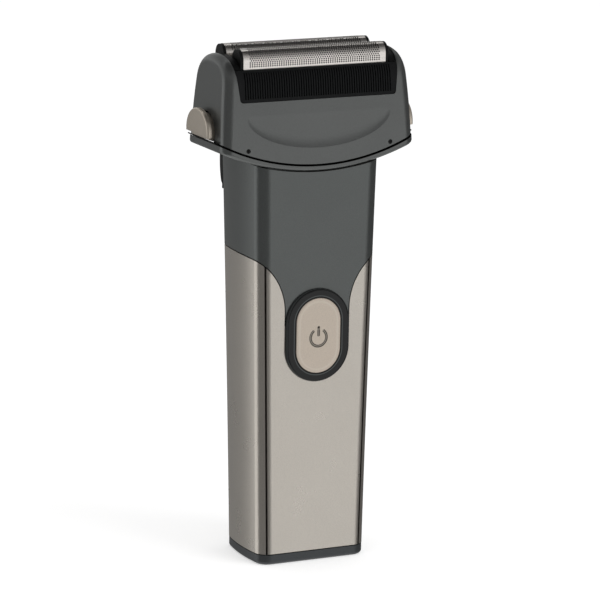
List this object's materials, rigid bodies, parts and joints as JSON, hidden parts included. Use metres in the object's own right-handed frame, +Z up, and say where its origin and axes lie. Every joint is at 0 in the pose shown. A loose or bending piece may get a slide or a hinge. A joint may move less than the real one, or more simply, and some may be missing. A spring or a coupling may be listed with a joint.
{
  "type": "electric shaver",
  "caption": "Cordless twin-foil electric shaver with a T-shaped head, slim tapered handle, oval shaving button, side releases and flip-out trimmer.",
  "frame": {"origin": "centre of the flat base, on the surface that the shaver stands on", "axes": "+Z up the handle to the head, +X along the foils, +Y to the back; the shaving button faces -Y"},
  "size_m": [0.067, 0.0336, 0.156],
  "materials": {
    "cover_satin": "satin dark-grey metallic lacquer",
    "neck_satin": "satin dark-grey metallic lacquer",
    "champagne": "semi-gloss champagne metallic lacquer",
    "gloss_black": "polished black",
    "matte_black": "fine matte black",
    "comb_black": "satin black, ribbed",
    "foil_nickel": "bright nickel foil with fine holes",
    "button_champagne": "satin champagne",
    "symbol_grey": "dark-grey print",
    "release_metal": "metallised satin with a bright edge",
    "cap_dark": "satin dark grey",
    "steel": "plain steel",
    "screw_black": "blackened steel",
    "nickel": "bright nickel",
    "brass": "sintered bronze",
    "magnet_grey": "ferrite",
    "board_green": "green solder mask",
    "battery_sleeve": "cell in a printed sleeve",
    "rubber_black": "soft black",
    "pom_white": "natural white"
  },
  "bodies": {
    "base": {"bottom_cap": "cap_dark", "rear_shell": "champagne", "front_panel": "champagne", "upper_shell": "neck_satin", "collar": "cover_satin", "button_bezel": "gloss_black", "button_boot": "rubber_black", "chassis": "matte_black", "battery": "battery_sleeve", "battery_tabs": "nickel", "circuit_board": "board_green", "board_parts": "matte_black", "tact_switch": "matte_black", "charge_inlet": "matte_black", "inlet_contact": "nickel", "motor_can": "steel", "motor_magnets": "magnet_grey", "motor_end_cap": "matte_black", "motor_bearing": "brass", "motor_bracket": "steel", "cap_screws": "steel", "motor_screws": "steel", "bridge_leaves": "pom_white", "drive_deck": "matte_black", "trimmer_pin": "steel", "right_release_spring": "steel", "left_release_spring": "steel"},
    "power_button": {"power_button": "button_champagne", "power_symbol": "symbol_grey"},
    "rotor": {"motor_shaft": "steel", "motor_core": "steel", "eccentric": "pom_white"},
    "bridge": {"drive_bridge": "pom_white", "drive_seals": "rubber_black", "front_cutter_spring": "steel", "rear_cutter_spring": "steel"},
    "front_cutter": {"front_cutter_carrier": "pom_white", "front_cutter_blades": "nickel"},
    "rear_cutter": {"rear_cutter_carrier": "pom_white", "rear_cutter_blades": "nickel"},
    "head": {"head_cover": "cover_satin", "head_screws": "screw_black", "foil_frame": "matte_black", "front_comb": "comb_black", "rear_comb": "comb_black"},
    "front_foil_unit": {"front_foil": "foil_nickel", "front_foil_carrier": "matte_black"},
    "rear_foil_unit": {"rear_foil": "foil_nickel", "rear_foil_carrier": "matte_black"},
    "right_release": {"right_release": "release_metal"},
    "left_release": {"left_release": "release_metal"},
    "trimmer": {"trimmer_flap": "matte_black", "trimmer_comb": "nickel"},
    "trimmer_cutter": {"trimmer_cutter": "nickel"}
  },
  "joints": [
    {"name": "head_lift", "type": "slide", "parent": "base", "child": "head", "axis": [0, 0, 1], "range_m": [0, 0.035]},
    {"name": "right_release_press", "type": "slide", "parent": "base", "child": "right_release", "axis": [-1, 0, 0], "range_m": [0, 0.001], "stiffness_N_per_m": 400, "springref_m": -0.002, "deforming": ["right_release_spring"]},
    {"name": "left_release_press", "type": "slide", "parent": "base", "child": "left_release", "axis": [1, 0, 0], "range_m": [0, 0.001], "stiffness_N_per_m": 400, "springref_m": -0.002, "deforming": ["left_release_spring"]},
    {"name": "front_foil_float", "type": "slide", "parent": "head", "child": "front_foil_unit", "axis": [0, 0, -1], "range_m": [0, 0.001], "stiffness_N_per_m": 300, "springref_m": -0.001},
    {"name": "rear_foil_float", "type": "slide", "parent": "head", "child": "rear_foil_unit", "axis": [0, 0, -1], "range_m": [0, 0.001], "stiffness_N_per_m": 300, "springref_m": -0.001},
    {"name": "bridge_slide", "type": "slide", "parent": "base", "child": "bridge", "axis": [1, 0, 0], "range_m": [-0.0011, 0.0011], "stiffness_N_per_m": 400, "deforming": ["bridge_leaves"]},
    {"name": "front_cutter_float", "type": "slide", "parent": "bridge", "child": "front_cutter", "axis": [0, 0, -1], "range_m": [0, 0.001], "stiffness_N_per_m": 300, "springref_m": -0.001, "deforming": ["front_cutter_spring"]},
    {"name": "rear_cutter_float", "type": "slide", "parent": "bridge", "child": "rear_cutter", "axis": [0, 0, -1], "range_m": [0, 0.001], "stiffness_N_per_m": 300, "springref_m": -0.001, "deforming": ["rear_cutter_spring"]},
    {"name": "motor_spin", "type": "hinge", "parent": "base", "child": "rotor", "pos_m": [0, 0.0004, 0.115], "axis": [0, 0, 1], "continuous": true},
    {"name": "power_press", "type": "slide", "parent": "base", "child": "power_button", "axis": [0, 0.9999, 0.0147], "range_m": [0, 0.0006], "stiffness_N_per_m": 800, "springref_m": -0.0008},
    {"name": "trimmer_flip", "type": "hinge", "parent": "base", "child": "trimmer", "pos_m": [0, 0.0162, 0.1115], "axis": [-1, 0, 0], "range_deg": [0, 90]},
    {"name": "trimmer_cutter_slide", "type": "slide", "parent": "trimmer", "child": "trimmer_cutter", "axis": [1, 0, 0], "range_m": [-0.0008, 0.0008]}
  ],
  "couplings": [
    {"joint": "front_cutter_float", "follows": "front_foil_float", "ratio": 1},
    {"joint": "rear_cutter_float", "follows": "rear_foil_float", "ratio": 1}
  ]
}
